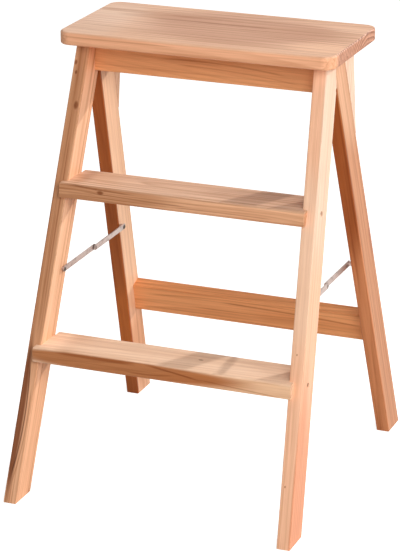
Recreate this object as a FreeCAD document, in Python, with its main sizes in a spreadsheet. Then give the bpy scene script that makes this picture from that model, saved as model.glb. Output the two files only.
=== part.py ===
import FreeCAD, Part
import Sketcher
import os
import re

# Folding step stool chair of pine boards: a front frame with two treads carries the seat,
# and a rear frame swings on two butt hinges set in the vertical joint between the leg tops.
# Millimetres, +Z up. The origin lies on the floor in the middle of the footprint,
# the front is towards -Y, and the hinge line runs along X.

os.makedirs("parts", exist_ok=True)
doc = FreeCAD.newDocument("folding_step_stool")

driving_sizes = {
    "stool_height": 650,
    "seat_width": 410.6,
    "seat_depth": 201.5,
    "seat_thickness": 19.2,
    "seat_corner_radius": 18,
    "seat_edge_radius": 3,
    "seat_to_hinge": 66.8,
    "hinge_drop": 44.2,
    "front_lean": 18.8,
    "rear_lean": 18.8,
    "leg_splay": 2.75,
    "seat_side_overhang": 18.1,
    "leg_thickness": 19.6,
    "leg_depth": 47.4,
    "leg_edge_radius": 1.5,
    "fold_gap": 0.4,
    "joint_gap": 0.3,
    "head_gap": 0.4,
    "mid_tread_height": 442.2,
    "lower_tread_height": 218.2,
    "tread_depth": 74.9,
    "tread_thickness": 21,
    "tread_overhang": 14.8,
    "housing_depth": 7,
    "tread_side_clearance": 1.5,
    "tread_notch_clearance": 0.5,
    "nosing_radius": 5,
    "board_edge_radius": 1.5,
    "apron_height": 46.8,
    "apron_thickness": 14.5,
    "apron_clearance": 0.5,
    "head_block_reach": 78.5,
    "top_rail_height": 40,
    "top_rail_thickness": 19.6,
    "top_rail_inset": 4,
    "stretcher_height": 46.4,
    "stretcher_thickness": 21,
    "stretcher_level": 178.1,
    "stay_level_left": 313,
    "stay_level_right": 298,
    "stay_front_inset_left": 15,
    "stay_front_inset_right": 5,
    "stay_rear_inset": 6.5,
    "stay_bar_width": 8.2,
    "stay_eye_radius": 4.5,
    "stay_thickness": 1.8,
    "stay_standoff": 2,
    "stay_layer_gap": 1,
    "stay_pin_radius": 1.9,
    "stay_pin_clearance": 0.08,
    "stay_head_radius": 3.4,
    "stay_head_height": 1.4,
    "stay_screw_length": 14,
    "rivet_head_radius": 3,
    "rivet_head_height": 1,
    "hinge_width": 15,
    "hinge_leaf_height": 36,
    "hinge_leaf_thickness": 1.6,
    "knuckle_radius": 2.8,
    "knuckle_clearance": 0.4,
    "knuckle_gap": 0.2,
    "hinge_pin_radius": 1.5,
    "hinge_pin_clearance": 0.05,
    "hinge_pin_overhang": 0.6,
    "hinge_screw_radius": 1.3,
    "hinge_screw_head_radius": 2.6,
    "hinge_screw_length": 13,
    "hinge_screw_low": 11,
    "hinge_screw_high": 28,
    "tread_screw_radius": 2.2,
    "tread_screw_head_radius": 3.8,
    "tread_screw_head_height": 3,
    "tread_screw_length": 42,
    "tread_screw_recess": 1.6,
    "dowel_radius": 3,
    "dowel_grip": 13,
    "apron_dowel_leg_grip": 6,
    "rear_dowel_leg_grip": 10,
    "dowel_spacing": 20,
    "seat_dowel_radius": 4,
    "seat_dowel_rise": 10,
    "seat_dowel_drop": 18,
    "seat_dowel_setback": 12,
    "apron_dowel_spread": 180,
}

sheet = doc.addObject("Spreadsheet::Sheet", "Sizes")
for row, (alias, number) in enumerate(driving_sizes.items(), start=1):
    sheet.set(f"A{row}", str(number))
    sheet.setAlias(f"A{row}", alias)
doc.recompute()

nodes = []
close = 0.001  # two coordinates of a shape count as equal within this


def bound(expression):
    """Turns the sheet's names in an expression, which all hold an underscore, into references."""
    return re.sub(r"[a-z]+(?:_[a-z]+)+", lambda name: "Sizes." + name.group(0), expression)


def bind(thing, **expressions):
    for property_name, expression in expressions.items():
        thing.setExpression(property_name, bound(expression))


def put(thing, x="0", y="0", z="0"):
    for axis, expression in zip("xyz", (x, y, z)):
        thing.setExpression("Placement.Base." + axis, bound(expression))


def node(thing, name):
    thing.Label = name
    nodes.append(thing)
    return thing


# Heights, slopes and planes that the pieces share, all worked out from the sheet

front_tan = "tan(front_lean * 1 deg)"
front_cos = "cos(front_lean * 1 deg)"
rear_tan = "tan(rear_lean * 1 deg)"
rear_cos = "cos(rear_lean * 1 deg)"
rear_sin = "sin(rear_lean * 1 deg)"
splay_tan = "tan(leg_splay * 1 deg)"
underside = "(stool_height - seat_thickness)"
hinge_z = f"({underside} - hinge_drop)"
hinge_y = (f"(((fold_gap + leg_depth) / {front_cos} + {hinge_z} * {front_tan}"
           f" - (fold_gap + leg_depth) / {rear_cos} - {hinge_z} * {rear_tan}) / 2)")
leg_top_x = "(seat_width / 2 - seat_side_overhang)"


def outer_x(z):
    return f"({leg_top_x} + ({underside} - {z}) * {splay_tan})"


def inner_x(z):
    return f"({outer_x(z)} - leg_thickness)"


def front_leg_back(z):
    return f"({hinge_y} - fold_gap / {front_cos} - ({hinge_z} - {z}) * {front_tan})"


def front_leg_front(z):
    return f"({front_leg_back(z)} - leg_depth / {front_cos})"


def rear_leg_front(z):
    return f"({hinge_y} + fold_gap / {rear_cos} + ({hinge_z} - {z}) * {rear_tan})"


def rear_leg_back(z):
    return f"({rear_leg_front(z)} + leg_depth / {rear_cos})"


seat_front = f"({hinge_y} - seat_to_hinge)"
front_joint_y = f"({hinge_y} - joint_gap / 2)"
rear_joint_y = f"({hinge_y} + joint_gap / 2)"
head_top = f"({underside} - head_gap)"
head_back = f"({hinge_y} + head_block_reach)"
apron_back = f"({hinge_y} - apron_clearance)"
sides = {"left": -1, "right": 1}


# The two stays hang at their own heights, and each one's links meet halfway between its pivots

def stay_pivot_y(frame, side):
    if frame == "front":
        return f"({front_leg_back(f'stay_level_{side}')} - stay_front_inset_{side})"
    return f"({rear_leg_front(f'stay_level_{side}')} + stay_rear_inset)"


def stay_length(side):
    return f"(({stay_pivot_y('rear', side)} - {stay_pivot_y('front', side)}) / 2)"


# Building blocks

def sketch_on(body, plane, points):
    """Closed outline of straight lines whose corners are bound to expressions."""
    sketch = body.newObject("Sketcher::SketchObject", body.Name + "_outline")
    origin_plane = [item for item in body.Origin.OriginFeatures if item.Role == plane][0]
    sketch.AttachmentSupport = [(origin_plane, "")]
    sketch.MapMode = "FlatFace"
    count = len(points)
    start = [FreeCAD.Vector(10 + 5 * i, 10 + 3 * i * i, 0) for i in range(count)]
    for i in range(count):
        sketch.addGeometry(Part.LineSegment(start[i], start[(i + 1) % count]), False)
    for i in range(count):
        sketch.addConstraint(Sketcher.Constraint("Coincident", i, 2, (i + 1) % count, 1))
    for i, (across, up) in enumerate(points):
        for kind, expression in (("DistanceX", across), ("DistanceY", up)):
            index = sketch.addConstraint(Sketcher.Constraint(kind, -1, 1, i, 1, 10.0 + i))
            sketch.renameConstraint(index, f"{kind}{i}")
            sketch.setExpression(f"Constraints.{kind}{i}", bound(expression))
    return sketch


def padded(name, plane, points, length, symmetric=False):
    body = doc.addObject("PartDesign::Body", name)
    sketch = sketch_on(body, plane, points)
    pad = body.newObject("PartDesign::Pad", name + "_pad")
    pad.Profile = sketch
    pad.SideType = "Symmetric" if symmetric else "One side"
    bind(pad, Length=length)
    sketch.Visibility = False
    doc.recompute()
    return body


def rounded(body, name, chosen, radius):
    """Rounds the edges of a body that the test picks."""
    base = body.Tip
    edges = [f"Edge{i}" for i, edge in enumerate(base.Shape.Edges, start=1) if chosen(edge)]
    fillet = body.newObject("PartDesign::Fillet", name)
    fillet.Base = (base, edges)
    bind(fillet, Radius=radius)
    doc.recompute()
    return body


def runs_along(edge, axis):
    box = edge.BoundBox
    spans = {"X": box.XLength, "Y": box.YLength, "Z": box.ZLength}
    across = [span for name, span in spans.items() if name != axis]
    return spans[axis] > close and max(across) < close


def boolean(kind, name, base, tool):
    result = doc.addObject("Part::" + kind, name)
    result.Base = base
    result.Tool = tool
    result.Refine = True
    return result


def cut_by(name, base, tools):
    for i, tool in enumerate(tools, start=1):
        base = boolean("Cut", f"{name}_cut{i}", base, tool)
    doc.recompute()
    return base


def group(name, things):
    compound = doc.addObject("Part::Compound", name)
    compound.Links = things
    return compound


turns = {
    "x": FreeCAD.Rotation(FreeCAD.Vector(0, 1, 0), 90),
    "-x": FreeCAD.Rotation(FreeCAD.Vector(0, 1, 0), -90),
    "y": FreeCAD.Rotation(FreeCAD.Vector(1, 0, 0), -90),
    "-y": FreeCAD.Rotation(FreeCAD.Vector(1, 0, 0), 90),
    "z": FreeCAD.Rotation(),
}


def rod(name, radius, length, way, x, y, z):
    cylinder = doc.addObject("Part::Cylinder", name)
    bind(cylinder, Radius=radius, Height=length)
    cylinder.Placement.Rotation = turns[way]
    put(cylinder, x, y, z)
    return cylinder


def cone(name, start_radius, end_radius, length, way, x, y, z):
    head = doc.addObject("Part::Cone", name)
    bind(head, Radius1=start_radius, Radius2=end_radius, Height=length)
    head.Placement.Rotation = turns[way]
    put(head, x, y, z)
    return head


def block(name, length, width, height, x, y, z):
    box = doc.addObject("Part::Box", name)
    bind(box, Length=length, Width=width, Height=height)
    put(box, x, y, z)
    return box


def splayed_slab(name, low_floor, high_floor, low_top, high_top):
    """Space between two planes that lean with the splay, from the floor to the seat."""
    slab = doc.addObject("Part::Wedge", name)
    bind(slab, Xmin=low_floor, Xmax=high_floor, X2min=low_top, X2max=high_top,
         Ymin="0", Ymax=underside, Zmin="-stool_height", Zmax="stool_height",
         Z2min="-stool_height", Z2max="stool_height")
    slab.Placement.Rotation = turns["-y"]
    return slab


# Seat board

def make_seat():
    half = "(seat_width / 2)"
    back = f"({seat_front} + seat_depth)"
    corners = [(f"-{half}", seat_front), (half, seat_front), (half, back), (f"-{half}", back)]
    body = padded("seat_board_blank", "XY_Plane", corners, "seat_thickness")
    put(body, z=underside)
    rounded(body, "seat_corners", lambda edge: runs_along(edge, "Z"), "seat_corner_radius")
    bottom, top = body.Tip.Shape.BoundBox.ZMin, body.Tip.Shape.BoundBox.ZMax

    def rim(edge):
        box = edge.BoundBox
        return box.ZLength < close and min(abs(box.ZMin - bottom), abs(box.ZMin - top)) < close
    return rounded(body, "seat_rim", rim, "seat_edge_radius")


def make_seat_dowels():
    low = f"({underside} - seat_dowel_drop)"
    length = "(seat_dowel_drop + seat_dowel_rise)"
    leg_y = f"({front_leg_front(underside)} + seat_dowel_setback)"
    apron_y = f"({apron_back} - apron_thickness / 2)"
    leg_x = f"({leg_top_x} - leg_thickness / 2)"
    dowels = []
    for side, sign in sides.items():
        for spot, x, y in (("leg", leg_x, leg_y), ("apron", "(apron_dowel_spread / 2)", apron_y)):
            dowels.append(rod(f"seat_dowel_{spot}_{side}", "seat_dowel_radius", length, "z",
                              f"{sign} * {x}", y, low))
    return dowels


# Treads, housed in the legs, with the rear corners cut back to let the rear frame pass

def make_tread(name, level):
    bottom = f"({level} - tread_thickness)"
    front = f"({front_leg_front(level)} - tread_overhang)"
    back = f"({front} + tread_depth)"
    notch = f"({front_leg_back(bottom)} - tread_notch_clearance)"
    wide = f"({inner_x(level)} + housing_depth)"
    narrow = f"({inner_x(level)} - tread_side_clearance)"
    corners = [(f"-{wide}", front), (wide, front), (wide, notch), (narrow, notch),
               (narrow, back), (f"-{narrow}", back), (f"-{narrow}", notch), (f"-{wide}", notch)]
    body = padded(name + "_blank", "XY_Plane", corners, "tread_thickness")
    put(body, z=bottom)
    doc.recompute()
    shape_box = body.Tip.Shape.BoundBox

    def nosing(edge):
        box = edge.BoundBox
        return runs_along(edge, "X") and abs(box.YMin - shape_box.YMin) < close \
            and abs(box.ZMax - shape_box.ZMax) < close

    def other_rims(edge):
        box = edge.BoundBox
        at_end = box.YMin > shape_box.YMax - close or box.YMax < shape_box.YMin + close
        return runs_along(edge, "X") and at_end
    rounded(body, name + "_nosing", nosing, "nosing_radius")
    return rounded(body, name + "_edges", other_rims, "board_edge_radius")


def make_tread_screw(name, sign, level):
    """Countersunk screw from the leg's outer face into the end of a tread, and its recess."""
    z = f"({level} - tread_thickness / 2)"
    y = f"(({front_leg_front(z)} + {front_leg_back(z)}) / 2)"
    way = "-x" if sign > 0 else "x"
    surface = outer_x(z)
    seat = f"({surface} - tread_screw_recess)"
    head = cone(name + "_head", "tread_screw_head_radius", "tread_screw_radius",
                "tread_screw_head_height", way, f"{sign} * {seat}", y, z)
    shank = rod(name + "_shank", "tread_screw_radius", "tread_screw_length", way,
                f"{sign} * {seat}", y, z)
    mouth = rod(name + "_mouth", "tread_screw_head_radius", "(2 * tread_screw_recess)", way,
                f"{sign} * ({surface} + tread_screw_recess)", y, z)
    return boolean("Fuse", name, head, shank), mouth


# Legs

def leg_blank(name, profile, side):
    leg = boolean("Common", name + "_board", profile, leg_slabs[side])
    doc.recompute()
    radius = sheet.leg_edge_radius
    long_edges = [(i, radius, radius) for i, edge in enumerate(leg.Shape.Edges, start=1)
                  if edge.Length > sheet.stool_height / 2]
    eased = doc.addObject("Part::Fillet", name + "_eased")
    eased.Base = leg
    eased.Edges = long_edges
    doc.recompute()
    return eased


def make_leg_profiles():
    front = padded("front_leg_profile", "YZ_Plane", [
        (front_leg_front("0"), "0"), (front_leg_back("0"), "0"),
        (front_joint_y, f"({hinge_z} + (fold_gap / {front_cos} - joint_gap / 2) / {front_tan})"),
        (front_joint_y, underside), (front_leg_front(underside), underside)],
        "(2 * stool_height)", symmetric=True)
    rear = padded("rear_leg_profile", "YZ_Plane", [
        (rear_leg_front("0"), "0"), (rear_leg_back("0"), "0"),
        (rear_leg_back(head_top), head_top), (rear_joint_y, head_top),
        (rear_joint_y, f"({hinge_z} + (fold_gap / {rear_cos} - joint_gap / 2) / {rear_tan})")],
        "(2 * stool_height)", symmetric=True)
    return front, rear


def make_head_block(side):
    """Glued block behind the rear leg's top: it fills the corner under the seat."""
    foot = f"({head_top} - ({head_back} - {rear_leg_back(head_top)}) / {rear_tan})"
    profile = padded(f"head_block_profile_{side}", "YZ_Plane", [
        (rear_leg_back(head_top), head_top), (head_back, foot), (head_back, head_top)],
        "(2 * stool_height)", symmetric=True)
    return boolean("Common", f"head_block_{side}", profile, leg_slabs[side])


# Boards that run across between the legs

def cross_board(name, height, thickness, y, z, lean=None):
    """Board along X, centred on y and z, with eased edges and ends that meet the legs."""
    body = padded(name + "_board", "YZ_Plane", [
        (f"-{thickness} / 2", f"-{height} / 2"), (f"{thickness} / 2", f"-{height} / 2"),
        (f"{thickness} / 2", f"{height} / 2"), (f"-{thickness} / 2", f"{height} / 2")],
        "(2 * seat_width)", symmetric=True)
    rounded(body, name + "_edges", lambda edge: runs_along(edge, "X"), "board_edge_radius")
    body.Placement.Rotation = FreeCAD.Rotation(FreeCAD.Vector(1, 0, 0), 1)
    body.setExpression("Placement.Rotation.Angle", bound(lean or "0"))
    put(body, "0", y, z)
    return boolean("Common", name + "_fitted", body, between_legs)


def end_dowels(name, y, z, leg_grip, rise_y="0", rise_z="1"):
    """Two dowels in each end of a cross board, one above the other."""
    dowels = []
    for side, sign in sides.items():
        for place, step in (("low", "-1"), ("high", "1")):
            offset = f"({step} * dowel_spacing / 2)"
            at_z = f"({z} + {offset} * {rise_z})"
            start = f"({inner_x(at_z)} - dowel_grip)"
            way = "x" if sign > 0 else "-x"
            dowels.append(rod(f"{name}_{side}_{place}", "dowel_radius",
                              f"(dowel_grip + {leg_grip})", way, f"{sign} * {start}",
                              f"({y} + {offset} * {rise_y})", at_z))
    return dowels


# Butt hinges: leaves let into the upright joint, knuckles round the pin below them

def make_leaf(frame, side):
    """Leaf with its knuckles: two outer ones on the front leaf, the middle one on the rear."""
    sign = sides[side]
    name = f"hinge_leaf_{frame}_{side}"
    centre = f"({sign} * ({outer_x(hinge_z)} - leg_thickness / 2))"
    left = f"({centre} - hinge_width / 2)"
    leaf_y = f"({front_joint_y} - hinge_leaf_thickness)" if frame == "front" else rear_joint_y
    lift = "(knuckle_radius + knuckle_clearance)"
    plate = block(name + "_plate", "hinge_width", "hinge_leaf_thickness",
                  f"(hinge_leaf_height - {lift})", left, leaf_y, f"({hinge_z} + {lift})")
    third = "(hinge_width / 3)"
    segments = (0, 2) if frame == "front" else (1,)
    leaf = plate
    for segment in segments:
        low = f"({left} + {segment} * {third} + knuckle_gap / 2)"
        length = f"({third} - knuckle_gap)"
        neck = block(f"{name}_neck{segment}", length, "hinge_leaf_thickness",
                     f"({lift} + hinge_leaf_thickness)", low, leaf_y, hinge_z)
        barrel = rod(f"{name}_barrel{segment}", "knuckle_radius", length, "x", low, hinge_y,
                     hinge_z)
        leaf = boolean("Fuse", f"{name}_neck_joined{segment}", leaf, neck)
        leaf = boolean("Fuse", f"{name}_joined{segment}", leaf, barrel)
    bore = rod(name + "_bore", "(hinge_pin_radius + hinge_pin_clearance)",
               "(2 * hinge_width)", "x", f"({centre} - hinge_width)", hinge_y, hinge_z)
    return boolean("Cut", name + "_bored", leaf, bore)


def make_leaf_recess(frame, side):
    """Room in a leg for the leaf, and a round groove along the hinge line for the knuckles."""
    sign = sides[side]
    name = f"hinge_recess_{frame}_{side}"
    centre = f"({sign} * ({outer_x(hinge_z)} - leg_thickness / 2))"
    depth = "(2 * hinge_leaf_thickness)"
    recess_y = f"({front_joint_y} - hinge_leaf_thickness)"
    if frame == "rear":
        recess_y = f"({rear_joint_y} - hinge_leaf_thickness)"
    pocket = block(name + "_pocket", "hinge_width", depth, "hinge_leaf_height",
                   f"({centre} - hinge_width / 2)", recess_y, hinge_z)
    groove = rod(name + "_groove", "(knuckle_radius + knuckle_clearance)",
                 "(3 * leg_thickness)", "x", f"({centre} - 1.5 * leg_thickness)", hinge_y,
                 hinge_z)
    return [pocket, groove]


def make_leaf_screws(frame, side):
    sign = sides[side]
    centre = f"({sign} * ({outer_x(hinge_z)} - leg_thickness / 2))"
    start = front_joint_y if frame == "front" else rear_joint_y
    way = "-y" if frame == "front" else "y"
    screws = []
    for level in ("hinge_screw_low", "hinge_screw_high"):
        name = f"{level}_{frame}_{side}"
        z = f"({hinge_z} + {level})"
        head = cone(name + "_head", "hinge_screw_head_radius", "hinge_screw_radius",
                    "hinge_leaf_thickness", way, centre, start, z)
        shank = rod(name + "_shank", "hinge_screw_radius", "hinge_screw_length", way, centre,
                    start, z)
        screws.append(boolean("Fuse", name, head, shank))
    return screws


def make_hinge_pin(side):
    sign = sides[side]
    centre = f"({sign} * ({outer_x(hinge_z)} - leg_thickness / 2))"
    return rod(f"hinge_pin_{side}_rod", "hinge_pin_radius",
               "(hinge_width + 2 * hinge_pin_overhang)", "x",
               f"({centre} - hinge_width / 2 - hinge_pin_overhang)", hinge_y, hinge_z)


# Folding stays: two links on each side in planes parallel to the legs' inner faces

def tilted(thing, side, depth, y):
    """Puts a piece that was built on its own YZ plane at a depth inside the inner face."""
    sign, level = sides[side], f"stay_level_{side}"
    thing.Placement.Rotation = FreeCAD.Rotation(FreeCAD.Vector(0, 1, 0), 1)
    thing.setExpression("Placement.Rotation.Angle", bound(f"-{sign} * leg_splay"))
    x = f"({sign} * ({inner_x(level)} - {depth} * cos(leg_splay * 1 deg)))"
    z = f"({level} - {depth} * sin(leg_splay * 1 deg))"
    put(thing, x, y, z)
    return thing


def disc(name, radius, thickness, sign):
    """Round piece that grows from its own origin towards the stool's middle."""
    return rod(name, radius, thickness, "-x" if sign > 0 else "x", "0", "0", "0")


def make_link(frame, side):
    sign = sides[side]
    name = f"stay_link_{frame}_{side}"
    length = stay_length(side)
    reach = length if frame == "front" else f"(-1 * {length})"
    start = "0" if frame == "front" else f"(-1 * {length})"
    flat = "0" if sign < 0 else "(-1 * stay_thickness)"
    bar = block(name + "_bar", "stay_thickness", length, "stay_bar_width", flat, start,
                "(-stay_bar_width / 2)")
    outline = bar
    holes = []
    for end, y in (("pivot", "0"), ("middle", reach)):
        eye = rod(f"{name}_{end}_eye", "stay_eye_radius", "stay_thickness", "x", flat, y, "0")
        outline = boolean("Fuse", f"{name}_{end}_joined", outline, eye)
        holes.append(rod(f"{name}_{end}_hole", "(stay_pin_radius + stay_pin_clearance)",
                         "(3 * stay_thickness)", "x", "(-1.5 * stay_thickness)", y, "0"))
    return cut_by(name, outline, holes)


def stay_depth(frame):
    """Distance from the leg's inner face to the near side of a link."""
    if frame == "front":
        return "stay_standoff"
    return "(stay_standoff + stay_thickness + stay_layer_gap)"


def make_stay_screw(frame, side):
    """Pivot screw: thread in the leg, smooth shoulder through spacer and link, round head."""
    sign = sides[side]
    name = f"stay_screw_{frame}_{side}"
    head_at = f"({stay_depth(frame)} + stay_thickness + stay_pin_clearance)"
    way = "-x" if sign > 0 else "x"
    shank = rod(name + "_shank", "stay_pin_radius", f"(stay_screw_length + {head_at})", way,
                f"({sign} * stay_screw_length)", "0", "0")
    head = rod(name + "_head", "stay_head_radius", "stay_head_height", way,
               f"(-{sign} * {head_at})", "0", "0")
    return boolean("Fuse", name, shank, head)


def make_spacer(frame, side):
    sign = sides[side]
    name = f"stay_spacer_{frame}_{side}"
    ring = disc(name + "_ring", "stay_head_radius", f"({stay_depth(frame)} - stay_pin_clearance)",
                sign)
    bore = rod(name + "_bore", "(stay_pin_radius + stay_pin_clearance)",
               f"(3 * {stay_depth(frame)})", "x", f"(-1.5 * {stay_depth(frame)})", "0", "0")
    return boolean("Cut", name, ring, bore)


def make_rivet(frame, side):
    """Half of the middle rivet: it fills its own link's hole and ends at the link's face."""
    sign = sides[side]
    name = f"stay_rivet_{frame}_{side}"
    way = "-x" if sign > 0 else "x"
    shank = rod(name + "_shank", "(stay_pin_radius + stay_pin_clearance)", "stay_thickness",
                way, "0", "0", "0")
    head_at = f"({sign} * rivet_head_height)" if frame == "front" \
        else f"(-{sign} * stay_thickness)"
    head = rod(name + "_head", "rivet_head_radius", "rivet_head_height", way, head_at, "0", "0")
    return boolean("Fuse", name, shank, head)


# Shared spaces

leg_slabs = {
    "left": splayed_slab("leg_space_left", f"-{outer_x('0')}", f"-{inner_x('0')}",
                         f"-{outer_x(underside)}", f"-{inner_x(underside)}"),
    "right": splayed_slab("leg_space_right", inner_x("0"), outer_x("0"),
                          inner_x(underside), outer_x(underside)),
}
between_legs = splayed_slab("space_between_legs", f"-{inner_x('0')}", inner_x("0"),
                            f"-{inner_x(underside)}", inner_x(underside))
doc.recompute()


# Assembly of the front frame

treads = {"mid_tread": "mid_tread_height", "lower_tread": "lower_tread_height"}
tread_blanks = {name: make_tread(name, level) for name, level in treads.items()}
tread_screws = {}
for tread_name, tread_level in treads.items():
    for side_name, side_sign in sides.items():
        screw_key = (tread_name, side_name)
        tread_screws[screw_key] = make_tread_screw(f"{tread_name}_screw_{side_name}",
                                                   side_sign, tread_level)
for tread_name in treads:
    bores = [tread_screws[(tread_name, side_name)][0] for side_name in sides]
    node(cut_by(tread_name, tread_blanks[tread_name], bores), tread_name)

seat_dowels = make_seat_dowels()
apron_z = f"({underside} - apron_height / 2)"
apron_y = f"({apron_back} - apron_thickness / 2)"
apron_dowels = end_dowels("apron_dowel", apron_y, apron_z, "apron_dowel_leg_grip")
apron_board = cross_board("front_apron", "apron_height", "apron_thickness", apron_y, apron_z)
node(cut_by("seat_board", make_seat(), seat_dowels), "seat_board")
node(cut_by("front_apron", apron_board, apron_dowels + seat_dowels[1::2]), "front_apron")

front_profile, rear_profile = make_leg_profiles()
for side_name in sides:
    front_tools = make_leaf_recess("front", side_name)
    front_leaf_screws = make_leaf_screws("front", side_name)
    front_pivot_y = stay_pivot_y("front", side_name)
    front_stay_screw = tilted(make_stay_screw("front", side_name), side_name, "0", front_pivot_y)
    front_tools += front_leaf_screws + [front_stay_screw]
    front_tools += list(tread_blanks.values())
    for tread_name in treads:
        front_tools += tread_screws[(tread_name, side_name)]
    front_tools += [dowel for dowel in apron_dowels + seat_dowels if side_name in dowel.Name]
    front_leg = leg_blank(f"front_leg_{side_name}", front_profile, side_name)
    node(cut_by(f"front_leg_{side_name}", front_leg, front_tools), f"front_leg_{side_name}")
    front_leaf = make_leaf("front", side_name)
    node(cut_by(f"hinge_leaf_front_{side_name}", front_leaf, front_leaf_screws),
         f"hinge_leaf_front_{side_name}")
    node(make_hinge_pin(side_name), f"hinge_pin_{side_name}")
    node(tilted(make_spacer("front", side_name), side_name, "0", front_pivot_y),
         f"stay_spacer_front_{side_name}")
    front_stay_screw.Label = f"stay_pivot_front_{side_name}"

# Assembly of the rear frame

stretcher_y = f"({rear_leg_back('stretcher_level')} - stretcher_thickness / 2 / {rear_cos})"
stretcher_dowels = end_dowels("stretcher_dowel", stretcher_y, "stretcher_level",
                              "rear_dowel_leg_grip", f"(-1 * {rear_sin})", rear_cos)
stretcher_board = cross_board("rear_stretcher", "stretcher_height", "stretcher_thickness",
                              stretcher_y, "stretcher_level", "rear_lean")
node(cut_by("rear_stretcher", stretcher_board, stretcher_dowels), "rear_stretcher")
rail_y = f"({head_back} - top_rail_inset - top_rail_thickness / 2)"
rail_z = f"({head_top} - top_rail_height / 2)"
rail_dowels = end_dowels("rail_dowel", rail_y, rail_z, "rear_dowel_leg_grip")
rail_board = cross_board("rear_top_rail", "top_rail_height", "top_rail_thickness", rail_y, rail_z)
node(cut_by("rear_top_rail", rail_board, rail_dowels), "rear_top_rail")
for side_name in sides:
    rear_leaf_screws = make_leaf_screws("rear", side_name)
    rear_pivot_y = stay_pivot_y("rear", side_name)
    rear_stay_screw = tilted(make_stay_screw("rear", side_name), side_name, "0", rear_pivot_y)
    rear_tools = make_leaf_recess("rear", side_name) + rear_leaf_screws + [rear_stay_screw]
    rear_tools += [dowel for dowel in stretcher_dowels if side_name in dowel.Name]
    rear_leg = leg_blank(f"rear_leg_{side_name}", rear_profile, side_name)
    node(cut_by(f"rear_leg_{side_name}", rear_leg, rear_tools), f"rear_leg_{side_name}")
    block_dowels = [dowel for dowel in rail_dowels if side_name in dowel.Name]
    node(cut_by(f"rear_head_block_{side_name}", make_head_block(side_name), block_dowels),
         f"rear_head_block_{side_name}")
    rear_leaf = make_leaf("rear", side_name)
    node(cut_by(f"hinge_leaf_rear_{side_name}", rear_leaf, rear_leaf_screws),
         f"hinge_leaf_rear_{side_name}")
    node(tilted(make_spacer("rear", side_name), side_name, "0", rear_pivot_y),
         f"stay_spacer_rear_{side_name}")
    rear_stay_screw.Label = f"stay_pivot_rear_{side_name}"

# Stays and their middle rivets

for side_name in sides:
    stay_middle_y = f"({stay_pivot_y('front', side_name)} + {stay_length(side_name)})"
    for frame_name in ("front", "rear"):
        link = tilted(make_link(frame_name, side_name), side_name, stay_depth(frame_name),
                      stay_pivot_y(frame_name, side_name))
        node(link, f"stay_link_{frame_name}_{side_name}")
        rivet = tilted(make_rivet(frame_name, side_name), side_name, stay_depth(frame_name),
                       stay_middle_y)
        node(rivet, f"stay_rivet_{frame_name}_{side_name}")

# Fastener groups, one node for like pieces of one frame

node(group("tread_screw_group", [screw for screw, mouth in tread_screws.values()]),
     "tread_screws")
node(group("seat_dowel_group", seat_dowels), "seat_dowels")
node(group("apron_dowel_group", apron_dowels), "apron_dowels")
node(group("stretcher_dowel_group", stretcher_dowels), "stretcher_dowels")
node(group("rail_dowel_group", rail_dowels), "rail_dowels")
for frame_name in ("front", "rear"):
    leaf_screws = [item for item in doc.Objects if item.TypeId == "Part::Fuse"
                   and item.Name.startswith("hinge_screw") and f"_{frame_name}_" in item.Name]
    node(group(f"hinge_screw_group_{frame_name}", leaf_screws), f"hinge_screws_{frame_name}")
    pivot_screws = [item for item in doc.Objects if item.TypeId == "Part::Fuse"
                    and item.Name.startswith(f"stay_screw_{frame_name}")]
    node(group(f"stay_screw_group_{frame_name}", pivot_screws), f"stay_screws_{frame_name}")

doc.recompute()

# Every object has to be sound before anything is written

for item in doc.Objects:
    if "Invalid" in item.State or "Error" in item.State:
        raise RuntimeError(f"{item.Name} did not build: {item.State}")
for item in nodes:
    if item.Shape.isNull() or not item.Shape.isValid() or item.Shape.Volume <= 0:
        raise RuntimeError(f"{item.Label} has no sound shape")
for item in nodes:
    item.Shape.exportStep(f"parts/{item.Label}.step")
print(len(nodes), "pieces written")
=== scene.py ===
import bmesh
import bpy
import math
from mathutils import Matrix, Vector


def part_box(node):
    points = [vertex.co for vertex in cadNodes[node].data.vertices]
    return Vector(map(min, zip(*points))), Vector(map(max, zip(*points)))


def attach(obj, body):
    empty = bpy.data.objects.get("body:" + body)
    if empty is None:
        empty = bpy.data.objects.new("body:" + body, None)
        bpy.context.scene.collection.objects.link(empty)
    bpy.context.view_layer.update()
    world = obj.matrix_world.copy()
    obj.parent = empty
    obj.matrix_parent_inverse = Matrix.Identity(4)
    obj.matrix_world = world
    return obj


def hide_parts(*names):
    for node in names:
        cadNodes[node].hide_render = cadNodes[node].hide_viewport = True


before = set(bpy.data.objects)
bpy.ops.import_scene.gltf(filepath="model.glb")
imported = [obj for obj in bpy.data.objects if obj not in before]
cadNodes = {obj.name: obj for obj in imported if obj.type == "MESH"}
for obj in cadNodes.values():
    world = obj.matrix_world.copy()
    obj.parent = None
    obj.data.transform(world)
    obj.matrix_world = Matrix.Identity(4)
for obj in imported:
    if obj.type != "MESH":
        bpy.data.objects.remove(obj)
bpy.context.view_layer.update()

# Folding step stool chair of pine: its own grain for every board, brushed steel stays,
# cross-head screws and rivets. Everything is in metres, +Z up, and the front is towards -Y.

scene = bpy.context.scene
print("frame loaded:", len(cadNodes), "nodes")

view = {
    "position": (1.25267, -3.20397, 1.50592),
    "target": (0.01317, -0.06827, 0.31290),
    "lens": 163.84,         # for a 36 mm sensor along the long side of the picture
    "sensor": 36.0,
    "roll": 0.063,          # degrees
}


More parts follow.
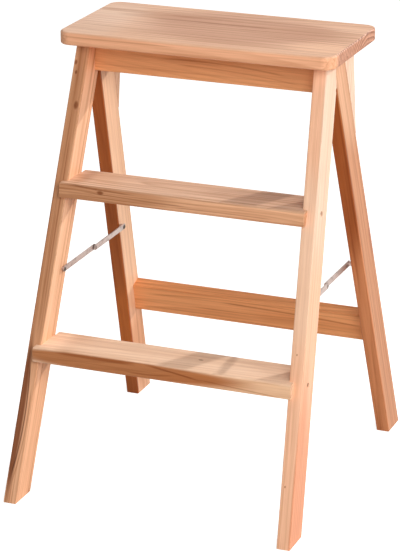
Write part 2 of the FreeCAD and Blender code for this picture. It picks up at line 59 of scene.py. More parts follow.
def placeCamera(s):
    lens = bpy.data.cameras.new("camera")
    lens.lens = s["lens"]
    lens.sensor_width = s["sensor"]
    lens.clip_end = 50
    camera = bpy.data.objects.new("camera", lens)
    camera.location = s["position"]
    look = Vector(s["target"]) - Vector(s["position"])
    level = look.to_track_quat("-Z", "Y").to_matrix()
    roll = Matrix.Rotation(math.radians(s["roll"]), 3, "Z")
    camera.rotation_euler = (level @ roll).to_euler()
    scene.collection.objects.link(camera)
    scene.camera = camera


placeCamera(view)
print("camera placed")


class Signal:
    # one number on a wire, so that shader maths reads as an expression
    def __init__(self, recipe, socket):
        self.recipe = recipe
        self.socket = socket

    def math(self, operation, *others, clamp=False):
        inputs = {i: value for i, value in enumerate((self,) + others)}
        node = self.recipe.add("Math", {"operation": operation, "use_clamp": clamp}, inputs)
        return node.out(0)

    def __add__(self, other):
        return self.math("ADD", other)

    def __radd__(self, other):
        return self.math("ADD", other)

    def __sub__(self, other):
        return self.math("SUBTRACT", other)

    def __mul__(self, other):
        return self.math("MULTIPLY", other)

    def __truediv__(self, other):
        return self.math("DIVIDE", other)

    def __pow__(self, other):
        return self.math("POWER", other)

    def clamped(self):
        return self.math("ADD", 0.0, clamp=True)

    def step(self, low, high, start=0.0, end=1.0):
        values = {"Value": self, "From Min": low, "From Max": high, "To Min": start, "To Max": end}
        return self.recipe.add("MapRange", {"interpolation_type": "SMOOTHSTEP"}, values).out(0)


class Added:
    # a node in a recipe; out() gives one of its results
    def __init__(self, recipe, node):
        self.recipe = recipe
        self.node = node

    def out(self, key=0):
        return Signal(self.recipe, self.node.outputs[key])


class Recipe:
    # a material under construction
    def __init__(self, name):
        self.material = bpy.data.materials.new(name)
        self.material.use_nodes = True
        self.tree = self.material.node_tree
        self.tree.nodes.clear()

    def add(self, kind, settings=None, values=None):
        node = self.tree.nodes.new("ShaderNode" + kind)
        for key, setting in (settings or {}).items():
            setattr(node, key, setting)
        for key, value in (values or {}).items():
            if isinstance(value, Signal):
                self.tree.links.new(value.socket, node.inputs[key])
            else:
                node.inputs[key].default_value = value
        return Added(self, node)

    def mixTone(self, factor, first, second, blend="MIX"):
        settings = {"data_type": "RGBA", "blend_type": blend, "clamp_factor": True}
        tones = [tone if isinstance(tone, Signal) else (*tone, 1.0) for tone in (first, second)]
        return self.add("Mix", settings, {0: factor, 6: tones[0], 7: tones[1]}).out(2)

    def vector(self, operation, first, second):
        return self.add("VectorMath", {"operation": operation}, {0: first, 1: second}).out(0)

    def noise(self, vector, stretch, detail=2.0, roughness=0.5):
        values = {"Vector": self.vector("MULTIPLY", vector, stretch), "Scale": 1.0,
                  "Detail": detail, "Roughness": roughness}
        return self.add("TexNoise", {"noise_dimensions": "3D"}, values).out("Fac")

    def farFrom(self, vector, centre, size):
        # 0 in the middle of an ellipsoid, 1 on its skin
        offset = self.vector("DIVIDE", self.vector("SUBTRACT", vector, centre), size)
        return self.add("VectorMath", {"operation": "LENGTH"}, {0: offset}).out("Value")

    def surface(self, values, height, bump=0.2, depth=0.0005):
        bumped = {"Height": height, "Strength": bump, "Distance": depth}
        values = dict(values, Normal=self.add("Bump", {}, bumped).out("Normal"))
        shader = self.add("BsdfPrincipled", {}, values)
        self.add("OutputMaterial", {}, {"Surface": shader.out("BSDF")})
        return self.material


def paint(names, material):
    for name in names:
        slots = cadNodes[name].data.materials
        for i in range(len(slots)):
            slots[i] = material
        if not slots:
            slots.append(material)


# Grain is laid out in each board's own axes: along it, across its width, through it.
# "heart" is where the tree's middle ran, "skew" how far it leaned per metre of board.
# A stain is a soft ellipsoid (middle, half sizes, tone, strength) that multiplies the tone;
# some are real stains, others are painted sheen on tops and painted shade on fronts.
# A vein is a curved line (axis it strays on, its path as a parabola along the board, where it
# starts and ends, half width, tone, strength). A knot is a middle and a radius. "rings" and
# "streaks" say how strongly both show, and "endGrain" is how far the sawn ends lie from the
# board's middle.

legLean = math.radians(18.8)
legSplay = math.radians(2.75)


def legAxis(frameName, side):
    sign = -1 if side == "left" else 1
    forward = 1 if frameName == "front" else -1
    return (-sign * math.tan(legSplay), forward * math.tan(legLean), 1.0)


pine = {
    "dark": (0.54, 0.38, 0.27),      # autumn wood, as a share of the board's tone
    "brown": (0.60, 0.45, 0.34),     # long streaks
    "pale": (1.05, 1.10, 1.15),      # wide pale patches
    "knotTone": (0.40, 0.24, 0.15),
    "knotStrength": 0.85,
    "knotBend": 1.1,                 # how far rings move round a knot, in its radii
    "roughness": 0.42,
    "sheen": 0.2,
    "wander": 0.010,                 # metres that a ring strays along a board
    "ripple": 0.0016,                # metres of its finer waves
    "fibreStrength": 0.22,
    "bandShare": 0.45,               # wide streaks, as a share of the narrow ones
    "markFringe": 0.9,              # unevenness of the edge of a stain, painted light and shade included
    "veinStray": 0.004,              # metres that a vein wanders off its path
    "veinFade": 0.03,                # metres over which it fades in and out
    "sawnEdge": 0.0012,              # metres over which end grain begins
    "sawnFrom": (-0.088, -0.07),     # it spares the rounded front corners
    "sawnTones": ((0.74, 0.70, 0.74), (0.26, 0.17, 0.14)),
    # noise periods per metre: along the board, across it, through it
    "wanderWaves": (2.2, 12, 12), "rippleWaves": (8, 60, 60), "fadeWaves": (1.6, 35, 35),
    "fibreWaves": (16, 900, 900), "streakWaves": (3.5, 260, 260),
    "bandWaves": (2.0, 90, 90), "patchWaves": (2.2, 16, 16),
}

boards = {
    "seat_board": {
        "along": (1, 0, 0), "wide": (0, 1, 0), "heart": (0.045, -0.055), "skew": (0.05, 0.02),
        "ring": 0.0062, "tone": (1.0, 0.53, 0.315), "rings": 0.55, "streaks": 0.6, "seed": 3,
        "endGrain": 0.2038,
        "stainsAndPaintedLight": [
            # Painted sheen: the first two make the top paler, all over and at the left end. The
            # third darkens the middle of the top; the last is a painted highlight near the front
            # right.
            ((0.0, 0.0, 0.0125), (0.40, 0.20, 0.005), (1.0, 1.18, 1.34), 1.0),
            ((-0.19, 0.0, 0.0125), (0.08, 0.14, 0.005), (1.0, 1.10, 1.20), 0.8),
            ((0.02, 0.01, 0.012), (0.17, 0.09, 0.006), (0.74, 0.64, 0.60), 0.95),
            ((0.17, -0.05, 0.012), (0.05, 0.03, 0.006), (1.12, 1.12, 1.10), 0.7)],
        "veins": [
            ("Y", (0.024, 0.01, -0.1), (-0.12, 0.08), 0.004, (0.78, 0.68, 0.62), 0.8),
            ("Y", (0.044, 0.01, 0.0), (-0.09, 0.17), 0.003, (0.82, 0.72, 0.66), 0.8),
            ("Y", (0.062, -0.02, 0.1), (-0.15, 0.15), 0.003, (0.84, 0.76, 0.70), 0.7),
            ("Y", (0.005, 0.02, 0.0), (0.02, 0.19), 0.003, (0.84, 0.76, 0.70), 0.7)]},
    "mid_tread": {
        "along": (1, 0, 0), "wide": (0, 1, 0), "heart": (0.01, -0.05), "skew": (0.03, 0.03),
        "ring": 0.0040, "tone": (0.90, 0.50, 0.29), "rings": 0.7, "streaks": 1.0, "seed": 11,
        "knots": [((-0.12, -0.0375, 0.0036), 0.003)],
        "stainsAndPaintedLight": [
            # The first is painted sheen, a paler top; the third is a painted shadow on the top
            # near the right leg.
            ((0.0, 0.0, 0.0135), (0.40, 0.10, 0.005), (1.02, 1.25, 1.50), 1.0),
            ((-0.13, -0.039, 0.0), (0.13, 0.006, 0.02), (0.68, 0.58, 0.48), 0.85),
            ((0.13, 0.0, 0.010), (0.10, 0.03, 0.006), (0.84, 0.80, 0.78), 0.7)],
        "veins": [
            ("Z", (0.006, 0.01, 0.2), (-0.18, -0.06), 0.0010, (0.55, 0.42, 0.34), 0.8),
            ("Z", (-0.001, -0.01, 0.1), (-0.16, 0.02), 0.0009, (0.58, 0.44, 0.36), 0.7),
            ("Z", (-0.004, 0.01, -0.1), (-0.02, 0.15), 0.0009, (0.60, 0.46, 0.38), 0.7)]},
    "lower_tread": {
        "along": (1, 0, 0), "wide": (0, 1, 0), "heart": (0.02, 0.04), "skew": (0.08, 0.0),
        "ring": 0.0070, "tone": (1.0, 0.69, 0.48), "rings": 0.35, "streaks": 0.35, "seed": 17,
        "knots": [((0.0453, 0.008, 0.0105), 0.0022)],
        "stainsAndPaintedLight": [
            # Painted shade: both darken the front face below the pale top, most at its left.
            ((-0.06, -0.040, 0.002), (0.19, 0.006, 0.014), (0.50, 0.25, 0.10), 0.92),
            ((0.12, -0.040, -0.002), (0.12, 0.006, 0.014), (0.98, 0.88, 0.76), 0.85)],
        "veins": [
            ("Z", (0.0072, 0.005, 0.1), (-0.17, -0.03), 0.0022, (0.60, 0.44, 0.32), 0.85),
            ("Z", (0.0066, -0.12, -0.5), (-0.03, 0.07), 0.0012, (0.55, 0.40, 0.30), 0.85),
            ("Z", (-0.0035, 0.1, 1.6), (-0.06, 0.03), 0.0012, (0.62, 0.46, 0.34), 0.7),
            ("Z", (0.003, -0.07, 0.0), (0.05, 0.19), 0.0009, (0.66, 0.52, 0.42), 0.7)]},
    "front_apron": {
        "along": (1, 0, 0), "wide": (0, 0, 1), "heart": (0.05, 0.02), "skew": (-0.12, 0.0),
        "ring": 0.008, "tone": (0.86, 0.40, 0.18), "rings": 0.35, "streaks": 0.4, "seed": 23,
        "stainsAndPaintedLight": [((-0.13, 0.008, 0.007), (0.07, 0.012, 0.02), (1.14, 1.18, 1.2), 0.25)],
        "veins": [
            ("Y", (0.004, -0.01, -0.5), (-0.08, 0.13), 0.0012, (0.72, 0.60, 0.50), 0.8),
            ("Y", (-0.004, -0.02, -0.4), (-0.05, 0.15), 0.0010, (0.74, 0.62, 0.52), 0.7)]},
    "rear_stretcher": {
        "along": (1, 0, 0), "wide": (0, 0, 1), "heart": (-0.03, 0.03), "skew": (0.06, 0.0),
        "ring": 0.008, "tone": (1.0, 0.45, 0.19), "rings": 0.6, "streaks": 0.6, "seed": 29,
        "stainsAndPaintedLight": [((0.10, -0.006, 0.02), (0.09, 0.012, 0.02), (0.90, 0.84, 0.78), 0.7)],
        "veins": [
            ("Y", (0.0075, -0.03, -0.1), (-0.05, 0.19), 0.0014, (0.62, 0.48, 0.38), 0.8),
            ("Y", (0.0135, 0.0, -0.3), (-0.17, 0.12), 0.0012, (0.76, 0.64, 0.54), 0.7),
            ("Y", (-0.006, 0.02, 0.2), (-0.1, 0.12), 0.0011, (0.78, 0.66, 0.56), 0.7)]},
    "rear_top_rail": {
        "along": (1, 0, 0), "wide": (0, 0, 1), "heart": (0.03, 0.04), "skew": (0.05, 0.0),
        "ring": 0.007, "tone": (0.85, 0.46, 0.26), "rings": 0.4, "streaks": 0.4, "seed": 31},
    "front_leg_left": {
        "along": legAxis("front", "left"), "wide": (0, 1, 0), "heart": (0.01, 0.03),
        "skew": (0.02, 0.0), "ring": 0.0065, "tone": (0.90, 0.48, 0.27), "rings": 0.45,
        "streaks": 0.9, "seed": 41,
        "knots": [((0.2969, -0.017, 0.0066), 0.0022), ((0.283, -0.017, 0.0041), 0.0018),
                  ((0.2368, -0.0171, -0.004), 0.0036)],
        "stainsAndPaintedLight": [
            # The first is painted shade on the upper front face under the seat; the second is
            # painted light, a paler inner face.
            ((0.12, -0.0185, 0.0), (0.26, 0.005, 0.03), (0.66, 0.58, 0.50), 0.85),
            ((0.05, 0.0, -0.0125), (0.22, 0.06, 0.005), (1.06, 1.20, 1.32), 0.8),
            ((-0.22, -0.0185, 0.006), (0.12, 0.005, 0.007), (0.30, 0.18, 0.12), 0.95)],
        "veins": [
            ("Z", (0.0365, 0.3703, 0.884), (-0.31, -0.125), 0.0010, (0.28, 0.19, 0.15), 0.9),
            ("Z", (0.0320, 0.3703, 0.884), (-0.32, -0.16), 0.0009, (0.6, 0.45, 0.36), 0.7),
            ("Z", (0.003, -0.01, 0.0), (0.02, 0.24), 0.0008, (0.62, 0.50, 0.42), 0.6),
            ("Z", (-0.004, 0.01, 0.0), (-0.06, 0.20), 0.0007, (0.62, 0.50, 0.42), 0.6)]},
    "front_leg_right": {
        "along": legAxis("front", "right"), "wide": (0, 1, 0), "heart": (-0.04, 0.03),
        "skew": (0.02, 0.01), "ring": 0.006, "tone": (1.0, 0.57, 0.36), "rings": 0.35,
        "streaks": 0.35, "seed": 43,
        "knots": [((-0.2528, -0.0171, 0.0039), 0.0011), ((-0.0708, -0.0171, 0.0015), 0.0010)],
        "stainsAndPaintedLight": [
            # The second is painted light, a paler upper outer side; the third makes the lower
            # outer side darker.
            ((0.06, -0.0185, 0.0), (0.13, 0.005, 0.03), (1.0, 1.16, 1.26), 0.8),
            ((0.26, 0.0, -0.0125), (0.24, 0.06, 0.005), (1.0, 1.24, 1.45), 0.9),
            ((-0.28, 0.0, -0.0125), (0.20, 0.06, 0.005), (0.86, 0.64, 0.56), 0.9)]},
    "rear_leg_left": {
        "along": legAxis("rear", "left"), "wide": (0, 1, 0), "heart": (0.03, 0.035),
        "skew": (0.03, 0.0), "ring": 0.007, "tone": (1.0, 0.62, 0.39), "rings": 0.45,
        "streaks": 0.4, "seed": 47,
        "stainsAndPaintedLight": [
            # The first two are painted shade on the front face, less dark low down; the third is
            # painted shade on the lower inner face.
            ((0.0, -0.0315, 0.0), (0.6, 0.006, 0.03), (0.42, 0.16, 0.035), 0.97),
            ((-0.20, -0.0315, 0.0), (0.09, 0.006, 0.03), (1.3, 1.35, 1.2), 0.8),
            ((-0.24, 0.0, -0.0125), (0.12, 0.06, 0.005), (0.72, 0.50, 0.36), 0.85)]},
    "rear_leg_right": {
        "along": legAxis("rear", "right"), "wide": (0, 1, 0), "heart": (0.03, -0.03),
        "skew": (0.03, 0.0), "ring": 0.007, "tone": (0.69, 0.32, 0.165), "rings": 0.5,
        "streaks": 0.7, "seed": 53,
        "stainsAndPaintedLight": [
            # This leg's dark tone is painted shade for its front face; the first two deepen it
            # there, most high up, and the third is painted light, a paler upper outer side.
            ((0.0, -0.0315, 0.0), (0.6, 0.006, 0.03), (1.05, 0.86, 0.68), 0.9),
            ((0.22, -0.0315, 0.0), (0.22, 0.006, 0.03), (0.54, 0.34, 0.15), 0.92),
            ((0.27, 0.0, -0.0125), (0.11, 0.06, 0.005), (1.2, 1.45, 1.65), 0.85),
            ((0.09, 0.023, -0.010), (0.035, 0.008, 0.006), (0.86, 0.74, 0.72), 0.8),
            ((0.007, 0.014, -0.010), (0.03, 0.008, 0.006), (0.84, 0.72, 0.70), 0.8)]},
    "rear_head_block_left": {
        "along": (0, 0.3, 1), "wide": (0, 1, 0), "heart": (0.03, 0.03), "skew": (0.0, 0.0),
        "ring": 0.006, "tone": (0.85, 0.52, 0.33), "rings": 0.4, "streaks": 0.4, "seed": 59},
    "rear_head_block_right": {
        "along": (0, 0.3, 1), "wide": (0, 1, 0), "heart": (0.02, -0.03), "skew": (0.0, 0.0),
        "ring": 0.006, "tone": (1.0, 0.72, 0.54), "rings": 0.5, "streaks": 0.5, "seed": 61},
}


def boardTurn(along, wide):
    length = Vector(along).normalized()
    width = Vector(wide)
    width = (width - length * width.dot(length)).normalized()
    return Matrix((length, width, length.cross(width))).transposed().to_euler()


def boardPine(name, s):
    low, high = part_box(name)
    recipe = Recipe("pine_" + name)
    place = recipe.add("TexCoord").out("Object")
    turn = {"Location": (low + high) / 2, "Rotation": boardTurn(s["along"], s["wide"])}
    local = recipe.add("Mapping", {"vector_type": "TEXTURE"}, dict(turn, Vector=place)).out()
    shifted = recipe.vector("ADD", local, (s["seed"] * 0.37, s["seed"] * 0.11, 0))
    part = recipe.add("SeparateXYZ", {}, {"Vector": local})
    along = part.out("X")

    # growth rings lie round the heart, stray along the board and bend round a knot
    across = part.out("Y") - (along * s["skew"][0] + s["heart"][0])
    deep = part.out("Z") - (along * s["skew"][1] + s["heart"][1])
    reach = (across * across + deep * deep) ** 0.5
    reach = reach + (recipe.noise(shifted, pine["wanderWaves"]) - 0.5) * (2 * pine["wander"])
    reach = reach + (recipe.noise(shifted, pine["rippleWaves"]) - 0.5) * pine["ripple"]
    knotMask = None
    for middle, size in s.get("knots", ()):
        far = recipe.farFrom(local, middle, (size * 1.7, size, size))
        reach = reach + far.step(3.2, 0.6) * (size * pine["knotBend"])
        spot = far.step(1.3, 0.5)
        knotMask = spot if knotMask is None else knotMask + spot
    phase = (reach / s["ring"]).math("FRACT")
    late = (phase ** 1.8) * phase.step(0.86, 1.0, 1.0, 0.0)
    fade = recipe.noise(shifted, pine["fadeWaves"], 1.0).step(0.3, 0.7, 0.3, 1.0)

    fibres = recipe.noise(shifted, pine["fibreWaves"], 2.0, 0.6)
    streaks = recipe.noise(shifted, pine["streakWaves"], 3.0, 0.62)
    bands = recipe.noise(shifted, pine["bandWaves"])
    patches = recipe.noise(shifted, pine["patchWaves"])

    tone = s["tone"]
    dark = recipe.mixTone(1.0, tone, pine["dark"], "MULTIPLY")
    brown = recipe.mixTone(1.0, tone, pine["brown"], "MULTIPLY")
    pale = recipe.mixTone(1.0, tone, pine["pale"], "MULTIPLY")
    tone = recipe.mixTone(patches.step(0.35, 0.68), tone, pale)
    tone = recipe.mixTone((late * fade * s["rings"]).clamped(), tone, dark)
    tone = recipe.mixTone(streaks.step(0.46, 0.70) * s["streaks"], tone, brown)
    tone = recipe.mixTone(bands.step(0.46, 0.72) * (s["streaks"] * pine["bandShare"]), tone, brown)
    tone = recipe.mixTone(fibres.step(0.35, 0.75) * pine["fibreStrength"], tone, dark)
    # each entry multiplies the tone in its ellipsoid: real stains, painted shade and painted sheen
    # alike
    for middle, halfSize, markTone, strength in s.get("stainsAndPaintedLight", ()):
        far = recipe.farFrom(local, middle, halfSize) + (patches - 0.5) * pine["markFringe"]
        tone = recipe.mixTone(far.step(1.25, 0.75) * strength, tone, markTone, "MULTIPLY")
    for axis, path, span, half, markTone, strength in s.get("veins", ()):
        line = (along * path[2] + path[1]) * along + path[0]
        off = part.out(axis) - line + (patches - 0.5) * pine["veinStray"]
        start, end = span
        mask = off.math("ABSOLUTE").step(half * 1.6, half * 0.3)
        mask = mask * along.step(start, start + pine["veinFade"])
        mask = mask * along.step(end, end - pine["veinFade"])
        tone = recipe.mixTone(mask * strength, tone, markTone, "MULTIPLY")
    if knotMask is not None:
        strength = knotMask.clamped() * pine["knotStrength"]
        tone = recipe.mixTone(strength, tone, pine["knotTone"], "MULTIPLY")
    if "endGrain" in s:
        sawn = along.math("ABSOLUTE").step(s["endGrain"] - pine["sawnEdge"], s["endGrain"])
        sawn = sawn * part.out("Y").step(*pine["sawnFrom"])
        ends = recipe.mixTone(late.clamped(), *pine["sawnTones"])
        tone = recipe.mixTone(sawn, tone, ends, "MULTIPLY")
    rough = pine["roughness"] + fibres * 0.12 + late * 0.06
    values = {"Base Color": tone, "Roughness": rough, "IOR": 1.45,
              "Specular IOR Level": pine["sheen"]}
    return recipe.surface(values, fibres * 0.6 + late * 0.4, bump=0.25, depth=0.0004)


for boardName, boardSettings in boards.items():
    paint([boardName], boardPine(boardName, boardSettings))
print("pine on", len(boards), "boards")


metals = {
    "staySteel": {"tone": (0.56, 0.46, 0.42), "markTone": (0.24, 0.18, 0.155), "rough": 0.36,
                  "along": (0, 1, 0)},
    "hingeSteel": {"tone": (0.42, 0.38, 0.34), "markTone": (0.20, 0.17, 0.15), "rough": 0.38,
                   "along": (1, 0, 0)},
    "rivetSteel": {"tone": (0.34, 0.28, 0.25), "markTone": (0.16, 0.12, 0.10), "rough": 0.36,
                   "along": (0, 0, 1)},
    "screwSteel": {"tone": (0.13, 0.10, 0.085), "markTone": (0.06, 0.045, 0.035), "rough": 0.42,
                   "along": (0, 0, 1)},
}


brushing = {"alongWaves": 30.0, "acrossWaves": 1400.0, "smudgeWaves": (90, 90, 90)}


def brushedMetal(name, s):
    recipe = Recipe(name)
    place = recipe.add("TexCoord").out("Object")
    waves = tuple(brushing["alongWaves" if part else "acrossWaves"] for part in s["along"])
    scratches = recipe.noise(place, waves, 3.0, 0.65)
    smudges = recipe.noise(place, brushing["smudgeWaves"], 3.0)
    tone = recipe.mixTone(smudges.step(0.45, 0.75, 0.0, 0.6), s["tone"], s["markTone"])
    tone = recipe.mixTone(scratches.step(0.4, 0.8, 0.0, 0.3), tone, s["markTone"])
    rough = s["rough"] + scratches * 0.14 + smudges * 0.1
    values = {"Base Color": tone, "Metallic": 1.0, "Roughness": rough}
    return recipe.surface(values, scratches, bump=0.2, depth=0.0001)


metalRecipes = {name: brushedMetal(name, s) for name, s in metals.items()}
paint([name for name in cadNodes if name.startswith(("stay_link", "stay_spacer"))],
      metalRecipes["staySteel"])
paint([name for name in cadNodes if name.startswith("hinge_") and "screws" not in name],
      metalRecipes["hingeSteel"])
paint([name for name in cadNodes if "screws" in name], metalRecipes["screwSteel"])
paint([name for name in cadNodes if "rivet" in name], metalRecipes["rivetSteel"])
print("metal on stays and hinges")


def dowelBeech():
    recipe = Recipe("dowelBeech")
    place = recipe.add("TexCoord").out("Object")
    fibres = recipe.noise(place, (40, 900, 900))
    tone = recipe.mixTone(fibres.step(0.35, 0.75), (0.72, 0.5, 0.3), (0.48, 0.29, 0.15))
    return recipe.surface({"Base Color": tone, "Roughness": 0.6 + fibres * 0.1}, fibres)


paint([name for name in cadNodes if name.endswith("dowels")], dowelBeech())
print("beech on dowels")


# Screws and rivets: a turned blank, a cross cut into its head, one copy at every CAD screw

def turnedBlank(name, profile, sides=28):
    # closed solid of revolution; the profile goes from the axis at the top to the axis below
    shell = bmesh.new()
    rings = []
    for radius, height in profile:
        if radius == 0:
            rings.append([shell.verts.new((0, 0, height))] * sides)
        else:
            turns = [2 * math.pi * i / sides for i in range(sides)]
            rings.append([shell.verts.new((radius * math.cos(t), radius * math.sin(t), height))
                          for t in turns])
    for upper, lower in zip(rings, rings[1:]):
        for i in range(sides):
            j = (i + 1) % sides
            corners = [upper[i], lower[i], lower[j], upper[j]]
            shell.faces.new([c for k, c in enumerate(corners) if c not in corners[:k]])
    bmesh.ops.recalc_face_normals(shell, faces=shell.faces)
    mesh = bpy.data.meshes.new(name)
    shell.to_mesh(mesh)
    shell.free()
    return bpy.data.objects.new(name, mesh)


def dome(radius, height, steps=5):
    # outline of a low round head, from the top of its axis to its rim
    turns = [math.pi / 2 * i / steps for i in range(steps + 1)]
    return [(radius * math.sin(t), height * (math.cos(t) - 1)) for t in turns]


fasteners = {
    "treadScrews": {
        "nodes": ["tread_screws"], "body": "front_frame", "slot": "screw_steel",
        "blank": "countersunk", "facing": "side", "cross": (0.0044, 0.0010, 0.0018)},
    "hingeScrewsFront": {
        "nodes": ["hinge_screws_front"], "body": "front_frame", "slot": "screw_steel",
        "blank": "leafScrew", "facing": "back", "cross": (0.0030, 0.0007, 0.0012)},
    "hingeScrewsRear": {
        "nodes": ["hinge_screws_rear"], "body": "rear_frame", "slot": "screw_steel",
        "blank": "leafScrew", "facing": "front", "cross": (0.0030, 0.0007, 0.0012)},
    "stayScrewsFront": {
        "nodes": ["stay_screws_front"], "body": "front_frame", "slot": "screw_steel",
        "blank": "stayScrewNear", "facing": "middle", "cross": (0.0036, 0.0008, 0.0009)},
    "stayScrewsRear": {
        "nodes": ["stay_screws_rear"], "body": "rear_frame", "slot": "screw_steel",
        "blank": "stayScrewFar", "facing": "middle", "cross": (0.0036, 0.0008, 0.0009)},
}
for side in ("left", "right"):
    # a front rivet's head faces the legs, a rear one's the middle of the stool
    for frameName, facing in (("front", "legs"), ("rear", "middle")):
        fasteners[f"stayRivet_{frameName}_{side}"] = {
            "nodes": [f"stay_rivet_{frameName}_{side}"], "body": f"stay_{frameName}_{side}",
            "slot": "rivet_steel", "blank": "rivet", "facing": facing, "cross": None}

blankShapes = {
    "countersunk": [(0, 0), (0.0034, 0), (0.0038, -0.0003), (0.0022, -0.003),
                    (0.0022, -0.040), (0.0006, -0.042), (0, -0.042)],
    "leafScrew": [(0, 0), (0.0024, 0), (0.0026, -0.0002), (0.0013, -0.0016),
                  (0.0013, -0.0122), (0.0004, -0.013), (0, -0.013)],
    "stayScrewNear": dome(0.0034, 0.0014) + [(0.0019, -0.0014), (0.0019, -0.0185),
                                             (0.0005, -0.0192), (0, -0.0192)],
    "stayScrewFar": dome(0.0034, 0.0014) + [(0.0019, -0.0014), (0.0019, -0.0213),
                                            (0.0005, -0.0220), (0, -0.0220)],
    "rivet": dome(0.0030, 0.0010) + [(0.00195, -0.0010), (0.00195, -0.0028), (0, -0.0028)],
}


def middleOf(points):
    # middle of the box round some points
    low = Vector([min(p[i] for p in points) for i in range(3)])
    high = Vector([max(p[i] for p in points) for i in range(3)])
    return (low + high) / 2


def islands(name):
    # the separate solids of a CAD node, each as its list of corner points
    shell = bmesh.new()
    shell.from_mesh(cadNodes[name].data)
    bmesh.ops.remove_doubles(shell, verts=shell.verts, dist=1e-6)
    left, found = set(shell.verts), []
    while left:
        queue, points = [left.pop()], []
        while queue:
            corner = queue.pop()
            points.append(corner.co.copy())
            for edge in corner.link_edges:
                other = edge.other_vert(corner)
                if other in left:
                    left.remove(other)
                    queue.append(other)
        found.append(points)
    shell.free()
    return sorted(found, key=lambda points: tuple(round(v, 4) for v in middleOf(points)))


def facingOf(kind, middle):
    # the way a head faces; the stays' heads lie square on the splayed legs
    sign = 1 if middle.x > 0 else -1
    inward = Vector((-sign * math.cos(legSplay), 0, -math.sin(legSplay)))
    ways = {"side": Vector((sign, 0, 0)), "front": Vector((0, -1, 0)),
            "back": Vector((0, 1, 0)), "middle": inward, "legs": -inward}
    return ways[kind]


def fastenerPoints(name, s):
    # one point on top of each head, with the way the head faces as an attribute of the point
    tops, ways = [], []
    for nodeName in s["nodes"]:
        for points in islands(nodeName):
            middle = middleOf(points)
            way = facingOf(s["facing"], middle)
            reach = max(way.dot(p) for p in points)
            tops.append(middle + way * (reach - way.dot(middle)))
            ways.append(way)
    mesh = bpy.data.meshes.new(name + "Points")
    mesh.from_pydata(tops, [], [])
    facing = mesh.attributes.new("facing", "FLOAT_VECTOR", "POINT")
    for i, way in enumerate(ways):
        facing.data[i].vector = way
    return bpy.data.objects.new(name, mesh)


def fastenerTree():
    tree = bpy.data.node_groups.new("fastenerOnPoints", "GeometryNodeTree")
    sockets = {}
    for label, kind in (("Geometry", "Geometry"), ("Blank", "Object"), ("Finish", "Material"),
                        ("Cross Length", "Float"), ("Cross Width", "Float"),
                        ("Cross Depth", "Float"), ("Has Cross", "Bool"), ("Seed", "Int")):
        item = tree.interface.new_socket(label, in_out="INPUT", socket_type="NodeSocket" + kind)
        sockets[label] = item.identifier
    tree.interface.new_socket("Geometry", in_out="OUTPUT", socket_type="NodeSocketGeometry")

    def add(kind, settings=None, values=None):
        node = tree.nodes.new(kind)
        for key, value in (settings or {}).items():
            setattr(node, key, value)
        for key, value in (values or {}).items():
            if isinstance(value, bpy.types.NodeSocket):
                tree.links.new(value, node.inputs[key])
            else:
                node.inputs[key].default_value = value
        return node

    given = add("NodeGroupInput").outputs
    blank = add("GeometryNodeObjectInfo", {}, {"Object": given["Blank"]}).outputs["Geometry"]
    twice = add("ShaderNodeMath", {"operation": "MULTIPLY"},
                {0: given["Cross Depth"], 1: 2.0}).outputs[0]
    bars = []
    for x, y in (("Cross Length", "Cross Width"), ("Cross Width", "Cross Length")):
        size = add("ShaderNodeCombineXYZ", {}, {"X": given[x], "Y": given[y], "Z": twice})
        bars.append(add("GeometryNodeMeshCube", {}, {"Size": size.outputs[0]}).outputs["Mesh"])
    cut = add("GeometryNodeMeshBoolean", {"operation": "DIFFERENCE", "solver": "EXACT"},
              {"Mesh 1": blank})
    for bar in bars:
        tree.links.new(bar, cut.inputs["Mesh 2"])
    chosen = add("GeometryNodeSwitch", {"input_type": "GEOMETRY"},
                 {"Switch": given["Has Cross"], "False": blank, "True": cut.outputs["Mesh"]})
    facing = add("GeometryNodeInputNamedAttribute", {"data_type": "FLOAT_VECTOR"},
                 {"Name": "facing"}).outputs["Attribute"]
    aimed = add("FunctionNodeAlignRotationToVector", {"axis": "Z"}, {"Vector": facing})
    spin = add("FunctionNodeRandomValue", {"data_type": "FLOAT"},
               {"Min": 0.0, "Max": 90.0, "Seed": given["Seed"]})
    turned = add("FunctionNodeAxisAngleToRotation", {}, {"Axis": (0, 0, 1)})
    radians = add("ShaderNodeMath", {"operation": "RADIANS"}, {0: spin.outputs["Value"]})
    tree.links.new(radians.outputs[0], turned.inputs["Angle"])
    rotation = add("FunctionNodeRotateRotation", {"rotation_space": "LOCAL"},
                   {"Rotation": aimed.outputs[0], "Rotate By": turned.outputs[0]})
    placed = add("GeometryNodeInstanceOnPoints", {},
                 {"Points": given["Geometry"], "Instance": chosen.outputs[0],
                  "Rotation": rotation.outputs[0]})
    real = add("GeometryNodeRealizeInstances", {}, {"Geometry": placed.outputs[0]})
    finished = add("GeometryNodeSetMaterial", {},
                   {"Geometry": real.outputs[0], "Material": given["Finish"]})
    add("NodeGroupOutput", {}, {"Geometry": finished.outputs[0]})
    return tree, sockets


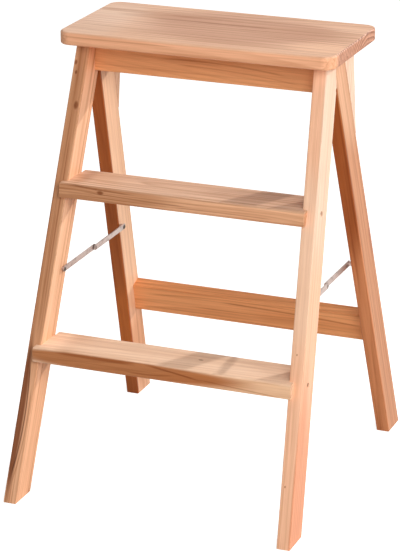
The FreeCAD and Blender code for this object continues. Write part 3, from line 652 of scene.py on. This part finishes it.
def makeFasteners():
    tree, sockets = fastenerTree()
    blanks = {name: turnedBlank(name, outline) for name, outline in blankShapes.items()}
    for seed, (name, s) in enumerate(fasteners.items(), start=1):
        piece = fastenerPoints(name, s)
        scene.collection.objects.link(piece)
        modifier = piece.modifiers.new("fasteners", "NODES")
        modifier.node_group = tree
        length, width, depth = s["cross"] or (0.001, 0.001, 0.001)
        finish = metalRecipes["screwSteel" if s["cross"] else "rivetSteel"]
        inputs = {"Blank": blanks[s["blank"]], "Finish": finish, "Cross Length": length,
                  "Cross Width": width, "Cross Depth": depth, "Has Cross": bool(s["cross"]),
                  "Seed": seed}
        for label, value in inputs.items():
            modifier[sockets[label]] = value
        ready = piece.evaluated_get(bpy.context.evaluated_depsgraph_get())
        mesh = bpy.data.meshes.new_from_object(ready)
        mesh.name = name
        piece.modifiers.remove(modifier)
        piece.data = mesh
        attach(piece, s["body"])
        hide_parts(*s["nodes"])
        print(name, len(mesh.vertices), "points")
    for blank in blanks.values():
        bpy.data.objects.remove(blank)


makeFasteners()
print("screws and rivets in place")


# Pale studio: the floor and the world look white to the camera and in reflections only

studio = {
    "floorHalf": 6.0, "floorDrop": 0.0005,
    "floorTone": (0.62, 0.60, 0.58),
    "floorGlow": 0.86,
    "worldTone": (1.0, 0.80, 0.62), "worldStrength": 0.05,
    "aim": (0, 0, 0.32),
    "keyFrom": (0.475, 0.78, 0.41), "keyAway": 4, "keyStrength": 2.0, "keyAngle": 1.5,
    "lamps": {
        "rightLamp": {"at": (3.0, -1.0, 1.6), "size": 1.2, "power": 42.0},
        "topLamp": {"at": (-0.1, 0.0, 3.0), "size": 1.4, "power": 11.5},
        "frontLamp": {"at": (1.7, -2.6, 2.0), "size": 1.6, "power": 54.0},
        "lowLamp": {"at": (-0.5, -3.2, 1.4), "size": 1.6, "power": 12.0},
    },
}


def buildStudio(s):
    half = s["floorHalf"]
    mesh = bpy.data.meshes.new("floor")
    mesh.from_pydata([(-half, -half, 0), (half, -half, 0), (half, half, 0), (-half, half, 0)],
                     [], [(0, 1, 2, 3)])
    floor = bpy.data.objects.new("floor", mesh)
    floor.location.z = -s["floorDrop"]
    scene.collection.objects.link(floor)
    recipe = Recipe("studioFloor")
    path = recipe.add("LightPath")
    seen = path.out("Is Camera Ray") + path.out("Is Glossy Ray") + path.out("Is Transmission Ray")
    glow = {"Color": (1, 1, 1, 1), "Strength": seen.clamped() * s["floorGlow"]}
    shaders = {0: recipe.add("BsdfDiffuse", {}, {"Color": (*s["floorTone"], 1.0)}).out(),
               1: recipe.add("Emission", {}, glow).out()}
    recipe.add("OutputMaterial", {}, {"Surface": recipe.add("AddShader", {}, shaders).out()})
    mesh.materials.append(recipe.material)

    world = bpy.data.worlds.new("studioWorld")
    scene.world = world
    world.use_nodes = True
    tree = world.node_tree
    tree.nodes.clear()
    path = tree.nodes.new("ShaderNodeLightPath")
    seen = path.outputs["Is Camera Ray"]
    for kind in ("Is Glossy Ray", "Is Transmission Ray"):
        total = tree.nodes.new("ShaderNodeMath")
        total.use_clamp = True
        tree.links.new(seen, total.inputs[0])
        tree.links.new(path.outputs[kind], total.inputs[1])
        seen = total.outputs[0]
    dim = tree.nodes.new("ShaderNodeBackground")
    dim.inputs["Color"].default_value = (*s["worldTone"], 1.0)
    dim.inputs["Strength"].default_value = s["worldStrength"]
    white = tree.nodes.new("ShaderNodeBackground")
    white.inputs["Color"].default_value = (1, 1, 1, 1)
    mixed = tree.nodes.new("ShaderNodeMixShader")
    output = tree.nodes.new("ShaderNodeOutputWorld")
    tree.links.new(seen, mixed.inputs[0])
    tree.links.new(dim.outputs[0], mixed.inputs[1])
    tree.links.new(white.outputs[0], mixed.inputs[2])
    tree.links.new(mixed.outputs[0], output.inputs["Surface"])


def addLamp(name, kind, settings, place, aim):
    lamp = bpy.data.lights.new(name, kind)
    for key, value in settings.items():
        setattr(lamp, key, value)
    thing = bpy.data.objects.new(name, lamp)
    thing.location = place
    thing.rotation_euler = (Vector(aim) - Vector(place)).to_track_quat("-Z", "Y").to_euler()
    scene.collection.objects.link(thing)


def lightStudio(s):
    middle = Vector(s["aim"])
    key = {"energy": s["keyStrength"], "angle": math.radians(s["keyAngle"])}
    addLamp("keyLamp", "SUN", key, middle + s["keyAway"] * Vector(s["keyFrom"]), middle)
    for name, lamp in s["lamps"].items():
        addLamp(name, "AREA", {"energy": lamp["power"], "size": lamp["size"]}, lamp["at"], middle)


buildStudio(studio)
lightStudio(studio)
scene.view_settings.view_transform = "Standard"
print("studio lit")
